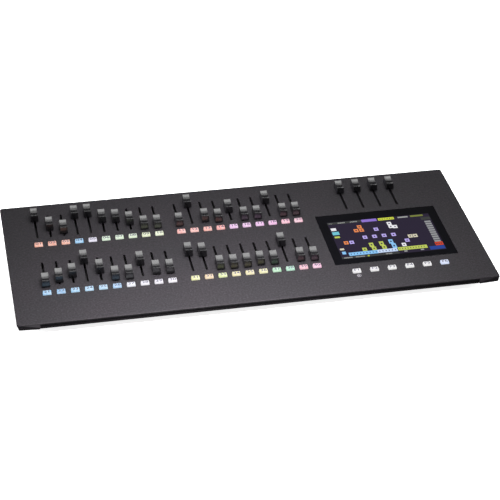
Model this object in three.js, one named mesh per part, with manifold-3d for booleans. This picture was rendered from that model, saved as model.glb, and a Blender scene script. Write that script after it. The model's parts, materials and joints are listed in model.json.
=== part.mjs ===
// Lighting control desk: a sloping steel fascia over a shallow steel tray, between two moulded end
// cheeks. Two rows of twenty channel faders, each with a key in front of it, stand to the left of a
// touch display with four playback faders behind it and six soft keys in front of it.
// Millimetres. +X is the user's right, +Y points away from the user, +Z is up. The origin is at the
// middle of the footprint, on the surface that the desk stands on.
import * as THREE from "three";
import { mergeVertices } from "three/addons/utils/BufferGeometryUtils.js";
import Module from "manifold-3d";

const INCH = 25.4;

// Fascia: a folded steel sheet, described in its own frame. Across is X, v runs up the slope from
// the front edge, and n is the height above its top face.
const SLOPE = THREE.MathUtils.degToRad(7.5);
const PANEL_WIDTH = 667;
const PANEL_DEPTH = 281.5;
const PANEL_SHEET = 2;
const PANEL_FOLD = 3; // depth of the folded rim, sheet included
const PANEL_CORNER = 4;
const FRONT_HEIGHT = 15; // from the table to the front edge of the top face

// Control layout, on an inch grid.
const FADER_PITCH = 0.75 * INCH;
const BANK_SIZE = 10;
const BANK_STEP = 8 * INCH; // from the first fader of one bank to the first of the next
const ROW_STEP = 4.5 * INCH;
const FIRST_FADER_X = -286.8;
const FRONT_KEYS_V = 66.2; // key row nearest the user
const FADER_BEYOND_KEYS = 44.3; // middle of a fader's slot, from its key
const CONTROL_PITCH = INCH; // playback faders and soft keys
const DISPLAY_X = 203;
const SOFT_KEYS_V = 45.1;

// Faders: 45 mm of travel, and the level in percent at which each one stands.
const TRAVEL = 45;
const SLOT = { width: 3, length: 54.2 };
const LEVELS = {
  rear: [100, 44, 20, 96, 98, 60, 53, 33, 2, 0, 0, 100, 11, 2, 50, 0, 0, 81, 0, 0],
  front: [0, 17, 35, 100, 43, 0, 0, 64, 10, 8, 87, 78, 2, 0, 0, 4, 0, 92, 3, 0],
  playback: [100, 100, 100, 100],
};
const CAP = { baseWidth: 11, topWidth: 9.4, base: 1.5, height: 12.3 };
const LEVER = { width: 1.2, length: 5, foot: -8.5 };
const POT = { width: 9, length: 60, top: -4, bottom: -10.5, channelFloor: -9.5 };

// Keys: rubber, ten to a mat, each on a plunger over a switch on the board.
const KEY = { width: 11.6, depth: 8, top: 2.2, taper: 0.8, hole: 0.3 };
const WEB = { top: -2.3, bottom: -3.8, beyond: 8, width: 13 };
const PLUNGER = { width: 5, depth: 4, foot: -9 };

// Display.
const GLASS = { width: 178.4, depth: 122.4, v: 124.6, top: -0.2, thickness: 2, corner: 2, gap: 0.3 };
const SCREEN = { width: 180, depth: 128, top: -2.5, bottom: -8.5 };

// Board under the faders and keys, with an arm behind the display and one in front of it.
const BOARD_SHEET = 1.6;
const BOARD = {
  left: -292,
  right: 100,
  armRight: 262,
  front: 37,
  rear: 256.5,
  rearArm: 192,
  frontArm: 54,
};

// Tray.
const TRAY_SHEET = 1.5;
const TRAY_HALF = 302.5;
const TRAY_BOTTOM = 5;
const TRAY_LIP = { inset: 0.8, bottom: 7.3, top: 11.2, ramp: 16 };
const REAR_WALL_INSET = 8.5; // from the fascia's rear edge
const UNDER_FOLD = -(PANEL_FOLD + 0.4); // n of what closes up to the fascia's rim

// End cheeks.
const CHEEK = { inner: 303, outer: 333.3, nose: 3, noseEnd: 0.2, corner: 6, wall: 3, lean: 0.268 };

// Rubber strips that the desk stands on.
const FOOT = { halfLength: 268, width: 12, inset: 34 };

// Main board and the sockets on its rear edge, each at its place along X.
const MAIN = { left: -60, right: 290, bottom: 9.5, depth: 58, post: 2.5 };
const CLEAR = 0.4; // round a socket in the rear wall
const PROUD = 0.5; // how far a socket stands out of the rear wall
const JACKS = [
  { x: -30, width: 15, height: 6.5, reach: 12, mouth: [13.8, 4.6], tongue: [10, 1.4] },
  { x: 4, width: 14.4, height: 7.4, reach: 14, mouth: [12.5, 5.1], tongue: [11, 2] },
  { x: 26, width: 14.4, height: 7.4, reach: 14, mouth: [12.5, 5.1], tongue: [11, 2] },
  { x: 58, width: 16, height: 13.4, reach: 16, mouth: [12, 8.4], tongue: null },
  { x: 244, width: 9, height: 11, reach: 14, mouth: [6, 6], tongue: [2, 2] },
];
const XLR = {
  places: [113, 142],
  flange: [26, 31],
  centre: 27.5,
  barrel: 12,
  bore: 9.8,
  insert: 7.3,
  reach: 12.5,
  deep: 9,
};
const SWITCH = { x: 272, width: 24, height: 15.4, reach: 20, bay: [20.6, 12.4], bayDepth: 10, tilt: 9 };

const toWorld = new THREE.Matrix4();
const footprintDepth = CHEEK.nose + PANEL_DEPTH * Math.cos(SLOPE) + PANEL_FOLD * Math.sin(SLOPE);
const FRONT_Y = CHEEK.nose - footprintDepth / 2; // front edge of the fascia's top face
toWorld.makeRotationX(SLOPE).setPosition(0, FRONT_Y, FRONT_HEIGHT);
const panelPoint = (v, n) => {
  const p = new THREE.Vector3(0, v, n).applyMatrix4(toWorld);
  return [p.y, p.z];
};
const REAR_WALL_Y = panelPoint(PANEL_DEPTH - REAR_WALL_INSET, 0)[0];
const SLOPE_RUN = 1 / Math.cos(SLOPE);
// Height of the plane n = const above the table, at a place along Y.
const underPanel = (y, n) => FRONT_HEIGHT + (y - FRONT_Y) * Math.tan(SLOPE) + n * SLOPE_RUN;

const CORNER_STEPS = 4;
const span = (count) => [...Array(count).keys()];

const wasm = await Module();
wasm.setup();

// ---- geometry helpers ----

function solid(geometry) {
  const bare = geometry.clone();
  bare.deleteAttribute("normal");
  bare.deleteAttribute("uv");
  const merged = mergeVertices(bare, 1e-4);
  return new wasm.Manifold(
    new wasm.Mesh({
      numProp: 3,
      vertProperties: merged.attributes.position.array,
      triVerts: new Uint32Array(merged.index.array),
    }),
  );
}

function geometryOf(made) {
  const data = made.getMesh();
  const geometry = new THREE.BufferGeometry();
  geometry.setAttribute("position", new THREE.BufferAttribute(data.vertProperties, 3));
  geometry.setIndex(new THREE.BufferAttribute(data.triVerts, 1));
  const faceted = geometry.toNonIndexed();
  faceted.computeVertexNormals();
  return faceted;
}

const join = (...geometries) => geometryOf(geometries.map(solid).reduce((a, b) => a.add(b)));
const cut = (geometry, ...tools) =>
  geometryOf(tools.map(solid).reduce((a, b) => a.subtract(b), solid(geometry)));
const common = (...geometries) => geometryOf(geometries.map(solid).reduce((a, b) => a.intersect(b)));

// Box between two corners.
function block(x0, x1, y0, y1, z0, z1) {
  const box = new THREE.BoxGeometry(x1 - x0, y1 - y0, z1 - z0);
  return box.translate((x0 + x1) / 2, (y0 + y1) / 2, (z0 + z1) / 2);
}

// Box centred on a place along X and Y.
const pillar = (x, y, width, depth, z0, z1) =>
  block(x - width / 2, x + width / 2, y - depth / 2, y + depth / 2, z0, z1);

// Outline in X and Y, raised from z0 to z1.
function slab(shape, z0, z1) {
  const options = { depth: z1 - z0, bevelEnabled: false, curveSegments: 4 };
  return new THREE.ExtrudeGeometry(shape, options).translate(0, 0, z0);
}

// Outline in Y and Z, drawn out along X from x0 to x1.
function lengthwise(points, x0, x1) {
  const shape = new THREE.Shape(points.map(([y, z]) => new THREE.Vector2(y, z)));
  const geometry = new THREE.ExtrudeGeometry(shape, { depth: x1 - x0, bevelEnabled: false });
  const turn = new THREE.Matrix4().makeBasis(
    new THREE.Vector3(0, 1, 0),
    new THREE.Vector3(0, 0, 1),
    new THREE.Vector3(1, 0, 0),
  );
  return geometry.applyMatrix4(turn).translate(x0, 0, 0);
}

// Outline of a rectangle with rounded corners.
function corners(x0, x1, y0, y1, r) {
  const centres = [
    [x1 - r, y0 + r],
    [x1 - r, y1 - r],
    [x0 + r, y1 - r],
    [x0 + r, y0 + r],
  ];
  return centres.flatMap(([x, y], quarter) =>
    span(CORNER_STEPS + 1).map((i) => {
      const turn = (Math.PI / 2) * (quarter - 1 + i / CORNER_STEPS);
      return new THREE.Vector2(x + r * Math.cos(turn), y + r * Math.sin(turn));
    }),
  );
}

// Cylinder along Y, from y0 to y1.
function rod(x, z, radius, y0, y1, sides = 20) {
  const geometry = new THREE.CylinderGeometry(radius, radius, y1 - y0, sides);
  return geometry.translate(x, (y0 + y1) / 2, z);
}

// ---- materials ----

const steel = (color) => new THREE.MeshStandardMaterial({ color, roughness: 0.55, metalness: 0.3 });
const plastic = (color, roughness = 0.5) =>
  new THREE.MeshStandardMaterial({ color, roughness, metalness: 0 });
const BLACK_PAINT = steel(0x353436);
const CHEEK_PLASTIC = plastic(0x2c2b2d);
const FADER_PLASTIC = plastic(0x2f2f31, 0.35);
const KEY_RUBBER = plastic(0xe6e3e6, 0.45);
const FOOT_RUBBER = plastic(0x1a1a1a, 0.9);
const GLASS_BLACK = plastic(0x0c0c10, 0.08);
const SCREEN_BLACK = plastic(0x1d1d1f, 0.4);
const BOARD_GREEN = plastic(0x1f4a2c, 0.6);
const SWITCH_BLACK = plastic(0x141414, 0.35);

// ---- where the controls are, in the fascia's frame ----

const channelX = (i) =>
  FIRST_FADER_X + Math.floor(i / BANK_SIZE) * BANK_STEP + (i % BANK_SIZE) * FADER_PITCH;
const twoDigits = (n) => String(n).padStart(2, "0");
const KEYS_V = { rear: FRONT_KEYS_V + ROW_STEP, front: FRONT_KEYS_V };
const CHANNELS = 2 * BANK_SIZE;

const faders = [
  ...["rear", "front"].flatMap((row, r) =>
    span(CHANNELS).map((i) => ({
      name: "channel_fader_" + twoDigits(r * CHANNELS + i + 1),
      x: channelX(i),
      v: KEYS_V[row] + FADER_BEYOND_KEYS,
      level: LEVELS[row][i],
    })),
  ),
  ...span(4).map((i) => ({
    name: "playback_fader_" + (i + 1),
    x: DISPLAY_X + (i - 1.5) * CONTROL_PITCH,
    v: KEYS_V.rear + FADER_BEYOND_KEYS,
    level: LEVELS.playback[i],
  })),
];

const mats = [
  ...["rear", "front"].flatMap((row, r) =>
    [0, 1].map((bank) => {
      const first = r * CHANNELS + bank * BANK_SIZE + 1;
      return {
        name: "bump_keys_" + twoDigits(first) + "_" + twoDigits(first + BANK_SIZE - 1),
        v: KEYS_V[row],
        keys: span(BANK_SIZE).map((i) => channelX(bank * BANK_SIZE + i)),
      };
    }),
  ),
  { name: "soft_keys", v: SOFT_KEYS_V, keys: span(6).map((i) => DISPLAY_X + (i - 2.5) * CONTROL_PITCH) },
];

// ---- pieces on the fascia, in its frame ----

function topPanel() {
  const half = PANEL_WIDTH / 2;
  const t = PANEL_SHEET;
  const edge = new THREE.Shape(corners(-half, half, 0, PANEL_DEPTH, PANEL_CORNER));
  const folded = slab(edge, -PANEL_FOLD, 0);
  const under = new THREE.Shape(corners(t - half, half - t, t, PANEL_DEPTH - t, PANEL_CORNER - t));
  const gw = GLASS.width / 2 + GLASS.gap;
  const gd = GLASS.depth / 2 + GLASS.gap;
  const window = [DISPLAY_X - gw, DISPLAY_X + gw, GLASS.v - gd, GLASS.v + gd];
  const keyHole = [KEY.width + 2 * KEY.hole, KEY.depth + 2 * KEY.hole];
  return cut(
    folded,
    slab(under, -PANEL_FOLD - 1, -t),
    slab(new THREE.Shape(corners(...window, GLASS.corner)), -t - 1, 1),
    ...faders.map(({ x, v }) => pillar(x, v, SLOT.width, SLOT.length, -t - 1, 1)),
    ...mats.flatMap(({ keys, v }) => keys.map((x) => pillar(x, v, ...keyHole, -t - 1, 1))),
  );
}

// Cap with a scooped top on a steel lever, standing where its level puts it.
function fader() {
  const half = 10;
  const outline = new THREE.Shape();
  outline.moveTo(-half, CAP.base).lineTo(half, CAP.base).lineTo(half - 1, CAP.height);
  outline.quadraticCurveTo(0, CAP.height - 4.6, 1 - half, CAP.height - 1.4);
  const cap = new THREE.ExtrudeGeometry(outline, { depth: 1, bevelEnabled: false, curveSegments: 4 });
  // The extrusion runs along its own z: stretch that to the cap's width, which tapers upwards.
  const place = cap.attributes.position;
  for (let i = 0; i < place.count; i++) {
    const v = place.getX(i);
    const n = place.getY(i);
    const share = (n - CAP.base) / (CAP.height - CAP.base);
    const width = THREE.MathUtils.lerp(CAP.baseWidth, CAP.topWidth, share);
    place.setXYZ(i, (place.getZ(i) - 0.5) * width, v, n);
  }
  const { width, length, foot } = LEVER;
  return join(cap, pillar(0, 0, width, length, foot, CAP.base + 3));
}

function keyMat(keys) {
  const first = keys[0] - WEB.beyond;
  const last = keys[keys.length - 1] + WEB.beyond;
  const pieces = [block(first, last, -WEB.width / 2, WEB.width / 2, WEB.bottom, WEB.top)];
  for (const x of keys) {
    const key = pillar(0, 0, KEY.width, KEY.depth, WEB.top - 0.5, KEY.top);
    const place = key.attributes.position;
    for (let i = 0; i < place.count; i++) {
      if (place.getZ(i) < 0) continue;
      place.setX(i, place.getX(i) - Math.sign(place.getX(i)) * (KEY.taper / 2));
      place.setY(i, place.getY(i) - Math.sign(place.getY(i)) * (KEY.taper / 2));
    }
    pieces.push(key.translate(x, 0, 0));
    pieces.push(pillar(x, 0, PLUNGER.width, PLUNGER.depth, PLUNGER.foot, WEB.bottom + 0.5));
  }
  return join(...pieces);
}

function touchGlass() {
  const { width, depth, v, top, thickness, corner } = GLASS;
  const edges = [DISPLAY_X - width / 2, DISPLAY_X + width / 2, v - depth / 2, v + depth / 2];
  return slab(new THREE.Shape(corners(...edges, corner)), top - thickness, top);
}

function displayModule() {
  const frame = pillar(DISPLAY_X, GLASS.v, SCREEN.width, SCREEN.depth, SCREEN.bottom, SCREEN.top);
  const driver = pillar(DISPLAY_X, GLASS.v, 90, 50, SCREEN.bottom - 5, SCREEN.bottom + 1);
  return join(frame, driver);
}

// Circuit board with the body of a slide potentiometer under every fader.
function faderBoard() {
  const b = BOARD;
  const outline = new THREE.Shape();
  outline.moveTo(b.left, b.front).lineTo(b.armRight + 20, b.front).lineTo(b.armRight + 20, b.frontArm);
  outline.lineTo(b.right, b.frontArm).lineTo(b.right, b.rearArm).lineTo(b.armRight, b.rearArm);
  outline.lineTo(b.armRight, b.rear).lineTo(b.left, b.rear).lineTo(b.left, b.front);
  const sheet = slab(outline, POT.bottom - BOARD_SHEET, POT.bottom);
  const bodies = faders.map(({ x, v }) =>
    pillar(x, v, POT.width, POT.length, POT.bottom - 0.5, POT.top),
  );
  const channels = faders.map(({ x, v }) =>
    pillar(x, v, SLOT.width, SLOT.length - 2, POT.channelFloor, POT.top + 1),
  );
  return cut(join(sheet, ...bodies), ...channels);
}

// ---- tray, cheeks and feet ----

// Cutters for the sockets, the same shapes as the sockets with clearance round them.
function socketOpenings() {
  const y = [REAR_WALL_Y - 3, REAR_WALL_Y + 1];
  const base = MAIN.bottom + BOARD_SHEET;
  const square = [...JACKS, SWITCH].map(({ x, width, height }) => {
    const half = width / 2 + CLEAR;
    return block(x - half, x + half, ...y, base - CLEAR, base + height + CLEAR);
  });
  return [...square, ...XLR.places.map((x) => rod(x, XLR.centre, XLR.barrel + CLEAR, ...y))];
}

function bottomTray() {
  const t = TRAY_SHEET;
  const lipY = FRONT_Y + TRAY_LIP.inset;
  const rampY = lipY + TRAY_LIP.ramp;
  const rearTop = underPanel(REAR_WALL_Y, UNDER_FOLD);
  const sheet = lengthwise(
    [
      [lipY, TRAY_LIP.top],
      [lipY, TRAY_LIP.bottom],
      [rampY, TRAY_BOTTOM],
      [REAR_WALL_Y, TRAY_BOTTOM],
      [REAR_WALL_Y, rearTop],
      [REAR_WALL_Y - t, rearTop - t * Math.tan(SLOPE)],
      [REAR_WALL_Y - t, TRAY_BOTTOM + t],
      [rampY, TRAY_BOTTOM + t],
      [lipY + t, TRAY_LIP.bottom + t],
      [lipY + t, TRAY_LIP.top],
    ],
    -TRAY_HALF,
    TRAY_HALF,
  );
  const endWall = [
    [rampY, TRAY_BOTTOM + t / 2],
    [REAR_WALL_Y - t / 2, TRAY_BOTTOM + t / 2],
    [REAR_WALL_Y - t / 2, rearTop - t],
    [rampY, underPanel(rampY, UNDER_FOLD) - 1],
  ];
  const ends = [-TRAY_HALF, TRAY_HALF - t].map((x) => lengthwise(endWall, x, x + t));
  return cut(join(sheet, ...ends), ...socketOpenings());
}

// Right-hand cheek: a moulded shell, open towards the tray, whose outer side leans in downwards and
// whose nose shows in front of the fascia.
function endCheek() {
  const { inner, outer, nose, noseEnd, corner, wall, lean } = CHEEK;
  const rearY = panelPoint(PANEL_DEPTH, 0)[0] - 4;
  const noseTop = FRONT_HEIGHT - 0.6;
  const behindNose = FRONT_Y - 0.4;
  const profile = [
    [FRONT_Y - nose, TRAY_LIP.bottom + 1.2],
    [FRONT_Y + 15, TRAY_BOTTOM],
    [rearY, TRAY_BOTTOM],
    [rearY, underPanel(rearY, UNDER_FOLD)],
    [behindNose, underPanel(behindNose, UNDER_FOLD)],
    [behindNose, noseTop],
    [FRONT_Y - nose, noseTop - 3.6],
  ];
  const plan = new THREE.Shape();
  plan.moveTo(inner, FRONT_Y - nose).lineTo(outer - corner, FRONT_Y - noseEnd);
  plan.absarc(outer - corner, FRONT_Y - noseEnd + corner, corner, -Math.PI / 2, 0);
  plan.lineTo(outer, rearY - corner).absarc(outer - corner, rearY - corner, corner, 0, Math.PI / 2);
  plan.lineTo(inner, rearY).lineTo(inner, FRONT_Y - nose);
  // Everything inside the leaning outer side, moved in by a distance; drawn in the fascia's frame.
  const inside = (offset) => {
    const shape = new THREE.Shape();
    const deep = 80;
    shape.moveTo(inner - 20, 10).lineTo(inner - 20, -deep).lineTo(outer - offset - deep * lean, -deep);
    shape.lineTo(outer - offset, 0).lineTo(outer - offset, 10).lineTo(inner - 20, 10);
    const prism = new THREE.ExtrudeGeometry(shape, { depth: PANEL_DEPTH + 80, bevelEnabled: false });
    return prism.rotateX(Math.PI / 2).translate(0, PANEL_DEPTH + 40, 0).applyMatrix4(toWorld);
  };
  const hollow = [
    [FRONT_Y + 30, TRAY_BOTTOM + wall],
    [rearY - wall, TRAY_BOTTOM + wall],
    [rearY - wall, underPanel(rearY - wall, UNDER_FOLD - wall)],
    [FRONT_Y + 30, underPanel(FRONT_Y + 30, UNDER_FOLD - wall)],
  ];
  const body = common(lengthwise(profile, inner, outer), slab(plan, 0, 70), inside(0));
  return cut(body, common(lengthwise(hollow, inner - 5, outer), inside(wall)));
}

function footStrip() {
  const r = FOOT.width / 2;
  const shape = new THREE.Shape();
  shape.absarc(FOOT.halfLength - r, 0, r, -Math.PI / 2, Math.PI / 2);
  shape.absarc(r - FOOT.halfLength, 0, r, Math.PI / 2, 1.5 * Math.PI);
  return slab(shape, 0, TRAY_BOTTOM);
}

// ---- main board, its sockets and the power switch ----

function mainBoard() {
  const base = MAIN.bottom + BOARD_SHEET;
  const sunk = base - 0.2; // sockets start inside the board so that they join it
  const frontY = REAR_WALL_Y - TRAY_SHEET - MAIN.depth;
  const boardRear = REAR_WALL_Y - TRAY_SHEET - 1;
  const face = REAR_WALL_Y + PROUD;
  const solids = [block(MAIN.left, MAIN.right, frontY, boardRear, MAIN.bottom, base)];
  const cavities = [];
  for (const x of [MAIN.left + 6, (MAIN.left + MAIN.right) / 2, MAIN.right - 6])
    for (const y of [frontY + 6, boardRear - 24]) {
      const post = new THREE.CylinderGeometry(MAIN.post, MAIN.post, MAIN.bottom - 6.5 + 0.5, 12);
      solids.push(post.rotateX(Math.PI / 2).translate(x, y, (MAIN.bottom + 6.5 + 0.5) / 2));
    }
  const tongues = [];
  for (const { x, width, height, reach, mouth, tongue } of JACKS) {
    solids.push(block(x - width / 2, x + width / 2, face - reach, face, sunk, base + height));
    const middle = base + height / 2;
    const half = [mouth[0] / 2, mouth[1] / 2];
    const depth = [face - reach + 3, face + 1];
    cavities.push(block(x - half[0], x + half[0], ...depth, middle - half[1], middle + half[1]));
    if (!tongue) continue;
    const t = [tongue[0] / 2, tongue[1] / 2];
    tongues.push(block(x - t[0], x + t[0], face - reach + 2, face - 1.5, middle - t[1], middle + t[1]));
  }
  const flangeFace = REAR_WALL_Y + 2.4;
  for (const x of XLR.places) {
    const [w, h] = XLR.flange;
    const z = XLR.centre;
    solids.push(block(x - w / 2, x + w / 2, REAR_WALL_Y + 0.3, flangeFace, z - h / 2, z + h / 2));
    solids.push(rod(x, z, XLR.barrel, flangeFace - XLR.reach, flangeFace - 0.5));
    solids.push(block(x - 8, x + 8, flangeFace - XLR.reach, REAR_WALL_Y - TRAY_SHEET - 1.2, sunk, z));
    cavities.push(rod(x, z, XLR.bore, flangeFace - XLR.deep, flangeFace + 1));
    tongues.push(rod(x, z, XLR.insert, flangeFace - XLR.deep - 1, flangeFace - 0.4));
  }
  const s = SWITCH;
  solids.push(block(s.x - s.width / 2, s.x + s.width / 2, face - s.reach, face, sunk, base + s.height));
  const middle = base + s.height / 2;
  const [bw, bh] = s.bay;
  cavities.push(
    block(s.x - bw / 2, s.x + bw / 2, face - s.bayDepth, face + 1, middle - bh / 2, middle + bh / 2),
  );
  return join(cut(join(...solids), ...cavities), ...tongues);
}

const ROCKER = {
  x: SWITCH.x,
  y: REAR_WALL_Y + PROUD - 2.5,
  z: MAIN.bottom + BOARD_SHEET + SWITCH.height / 2,
  height: SWITCH.bay[1] - 0.8,
};

// Shallow V across the front and a rounded back, about a pivot at the origin.
function rocker() {
  const shape = new THREE.Shape();
  shape.moveTo(-9, 4.7).lineTo(-8, 0.5).lineTo(-4, -4).lineTo(4, -4).lineTo(8, 0.5).lineTo(9, 4.7);
  shape.lineTo(0, 3.1).lineTo(-9, 4.7);
  return slab(shape, -ROCKER.height / 2, ROCKER.height / 2);
}

// ---- assembly ----

function named(name, geometry, material) {
  const mesh = new THREE.Mesh(geometry, material);
  mesh.name = name;
  return mesh;
}

const desk = new THREE.Group();
const fascia = new THREE.Group();
fascia.applyMatrix4(toWorld);
desk.add(fascia);

fascia.add(named("top_panel", topPanel(), BLACK_PAINT));
fascia.add(named("touch_glass", touchGlass(), GLASS_BLACK));
fascia.add(named("display_module", displayModule(), SCREEN_BLACK));
fascia.add(named("fader_board", faderBoard(), BOARD_GREEN));

const faderShape = fader();
for (const { name, x, v, level } of faders) {
  const mesh = named(name, faderShape, FADER_PLASTIC);
  mesh.position.set(x, v + (level / 100 - 0.5) * TRAVEL, 0);
  fascia.add(mesh);
}
for (const { name, v, keys } of mats) {
  const mesh = named(name, keyMat(keys), KEY_RUBBER);
  mesh.position.set(0, v, 0);
  fascia.add(mesh);
}

desk.add(named("bottom_tray", bottomTray(), BLACK_PAINT));
desk.add(named("main_board", mainBoard(), BOARD_GREEN));

const cheekShape = endCheek();
desk.add(named("right_cheek", cheekShape, CHEEK_PLASTIC));
const leftCheek = named("left_cheek", cheekShape, CHEEK_PLASTIC);
leftCheek.scale.x = -1;
desk.add(leftCheek);

const footShape = footStrip();
for (const [name, y] of [
  ["front_foot_strip", FRONT_Y + FOOT.inset],
  ["rear_foot_strip", REAR_WALL_Y - FOOT.inset / 2],
]) {
  const mesh = named(name, footShape, FOOT_RUBBER);
  mesh.position.set(0, y, 0);
  desk.add(mesh);
}

const powerRocker = named("power_rocker", rocker(), SWITCH_BLACK);
powerRocker.position.set(ROCKER.x, ROCKER.y, ROCKER.z);
powerRocker.rotation.z = -THREE.MathUtils.degToRad(SWITCH.tilt);
desk.add(powerRocker);

export default desk;
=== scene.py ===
import json
import math

import bmesh
import bpy
from mathutils import Matrix, Vector

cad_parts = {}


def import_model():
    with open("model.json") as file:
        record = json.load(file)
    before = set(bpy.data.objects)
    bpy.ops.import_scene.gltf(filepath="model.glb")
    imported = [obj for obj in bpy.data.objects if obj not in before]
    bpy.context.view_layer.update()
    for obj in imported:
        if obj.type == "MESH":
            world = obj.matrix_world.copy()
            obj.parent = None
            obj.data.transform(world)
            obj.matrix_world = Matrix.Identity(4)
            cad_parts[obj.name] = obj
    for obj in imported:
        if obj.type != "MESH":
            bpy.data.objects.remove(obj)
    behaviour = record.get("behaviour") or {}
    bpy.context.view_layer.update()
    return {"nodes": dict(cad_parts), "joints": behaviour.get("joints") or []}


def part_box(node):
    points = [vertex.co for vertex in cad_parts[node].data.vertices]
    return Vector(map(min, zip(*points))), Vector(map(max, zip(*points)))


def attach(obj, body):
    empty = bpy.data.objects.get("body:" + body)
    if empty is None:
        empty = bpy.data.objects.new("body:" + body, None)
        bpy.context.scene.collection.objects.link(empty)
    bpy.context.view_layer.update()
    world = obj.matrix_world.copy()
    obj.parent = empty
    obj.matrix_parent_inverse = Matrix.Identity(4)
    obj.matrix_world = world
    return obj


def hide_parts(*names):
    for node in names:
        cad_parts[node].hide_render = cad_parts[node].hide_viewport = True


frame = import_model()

MM = 0.001
SCENE = bpy.context.scene
SCENE.view_settings.view_transform = "Standard"


# ---- the fascia's frame: x across, v up the slope from its front edge, n above its top face ----

FOLD = 3 * MM  # depth of the fascia's folded rim
slide_axis = next(j for j in frame["joints"] if j["name"] == "playback_fader_1_slide")["axis"]
SLOPE = math.atan2(slide_axis[2], slide_axis[1])
panel_low, panel_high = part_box("top_panel")
FRONT_EDGE = Vector((0, panel_low.y, panel_low.z + FOLD * math.cos(SLOPE)))
FASCIA = Matrix.Translation(FRONT_EDGE) @ Matrix.Rotation(SLOPE, 4, "X")


def fascia_box(node):
    """Lowest and highest corners of a CAD node in the fascia's frame."""
    inverse = FASCIA.inverted()
    points = [inverse @ v.co for v in frame["nodes"][node].data.vertices]
    low = Vector([min(p[k] for p in points) for k in range(3)])
    high = Vector([max(p[k] for p in points) for k in range(3)])
    return low, high


def middle(node):
    """Middle of a CAD node's box in the fascia's frame."""
    low, high = fascia_box(node)
    return (low + high) / 2


def linear(hex_colour):
    """An sRGB colour such as "c0ffee" as linear r, g, b."""
    values = [int(hex_colour[k : k + 2], 16) / 255 for k in (0, 2, 4)]
    return [c / 12.92 if c <= 0.04045 else ((c + 0.055) / 1.055) ** 2.4 for c in values]


# ---- materials ----


MARKS_PER_METRE = 1200.0  # of drawn marks in metal
TRACKS_PER_METRE = 420.0  # of copper on a board
PIXEL_ROWS = 0.6 * MM
PALER = 0.45  # how far the rubber goes towards white where the light under it is strongest


class Nodes:
    """A material's node tree, with a short way to add linked nodes."""

    def __init__(self, name):
        self.material = bpy.data.materials.new(name)
        self.material.use_nodes = True
        self.tree = self.material.node_tree
        self.shader = self.tree.nodes["Principled BSDF"]
        self.place = self.add("ShaderNodeTexCoord").outputs["Object"]

    def add(self, kind, inputs=None, **settings):
        node = self.tree.nodes.new(kind)
        for key, value in settings.items():
            setattr(node, key, value)
        for key, value in (inputs or {}).items():
            self.set(node, key, value)
        return node

    def set(self, node, key, value):
        if isinstance(value, bpy.types.NodeSocket):
            self.tree.links.new(value, node.inputs[key])
        else:
            node.inputs[key].default_value = value

    def noise(self, size, detail=2.0, rough=0.5):
        """Noise whose features are about size metres."""
        inputs = {"Vector": self.place, "Scale": 1 / size, "Detail": detail, "Roughness": rough}
        return self.add("ShaderNodeTexNoise", inputs).outputs["Fac"]

    def spread(self, factor, low, high, start=0.3, end=0.7):
        """factor from start to end becomes low to high."""
        inputs = {"From Min": start, "From Max": end, "To Min": low, "To Max": high}
        node = self.add("ShaderNodeMapRange", {"Value": factor, **inputs})
        return node.outputs["Result"]

    def shades(self, factor, *stops):
        """Colours (r, g, b) along factor, evenly spaced."""
        ramp = self.add("ShaderNodeValToRGB", {"Fac": factor})
        elements = ramp.color_ramp.elements
        while len(elements) < len(stops):
            elements.new(0.5)
        for k, colour in enumerate(stops):
            elements[k].position = k / (len(stops) - 1)
            elements[k].color = (*colour, 1)
        return ramp.outputs["Color"]

    def product(self, a, b):
        """Two colours multiplied."""
        inputs = {0: 1.0, 6: a, 7: b}  # factor, and the colour sockets A and B
        node = self.add("ShaderNodeMix", inputs, data_type="RGBA", blend_type="MULTIPLY")
        return node.outputs[2]

    def bump(self, height, depth, normal=None):
        inputs = {"Height": height, "Distance": depth, "Strength": 1.0}
        if normal:
            inputs["Normal"] = normal
        return self.add("ShaderNodeBump", inputs).outputs["Normal"]

    def finish(self, **inputs):
        for key, value in inputs.items():
            self.set(self.shader, key.replace("_", " ").title().replace("Ior", "IOR"), value)
        return self.material


def rgba(colour):
    return (*colour, 1)


def scaled(colour, k):
    return tuple(c * k for c in colour)


def powder_coat():
    """Charcoal powder coat: fine orange peel, pale flecks, and patches smoothed by handling."""
    m = Nodes("powder_coat")
    base = linear("1f1d20")
    fleck = m.spread(m.noise(2.6 * MM, 4, 0.75), 0, 1, 0.34, 0.68)
    cloud = m.spread(m.noise(90 * MM, 3), 0, 1)
    colour = m.shades(fleck, scaled(base, 0.4), base, scaled(base, 2.2))
    tint = m.shades(cloud, (0.9, 0.93, 0.95), (1.06, 0.99, 1.04))
    peel = m.bump(m.noise(1.4 * MM, 1), 0.03 * MM)
    grain = m.bump(m.noise(0.35 * MM, 2), 0.035 * MM, peel)
    return m.finish(
        base_color=m.product(colour, tint),
        roughness=m.spread(cloud, 0.58, 0.68, 0, 1),
        specular_ior_level=0.3,
        normal=grain,
    )


def moulded(name, hex_colour, rough, grain=0.25 * MM, depth=0.02 * MM, specular=0.5):
    """Moulded plastic with a spark-eroded grain and slight handling marks."""
    m = Nodes(name)
    base = linear(hex_colour)
    cloud = m.spread(m.noise(14 * MM, 3), 0, 1)
    marks = m.spread(m.noise(2.2 * MM, 4, 0.7), 0, 1, 0.45, 0.75)
    return m.finish(
        base_color=m.shades(cloud, scaled(base, 0.88), scaled(base, 1.25)),
        roughness=m.spread(marks, rough, rough + 0.1, 0, 1),
        specular_ior_level=specular,
        normal=m.bump(m.noise(grain, 2), depth),
    )


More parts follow.
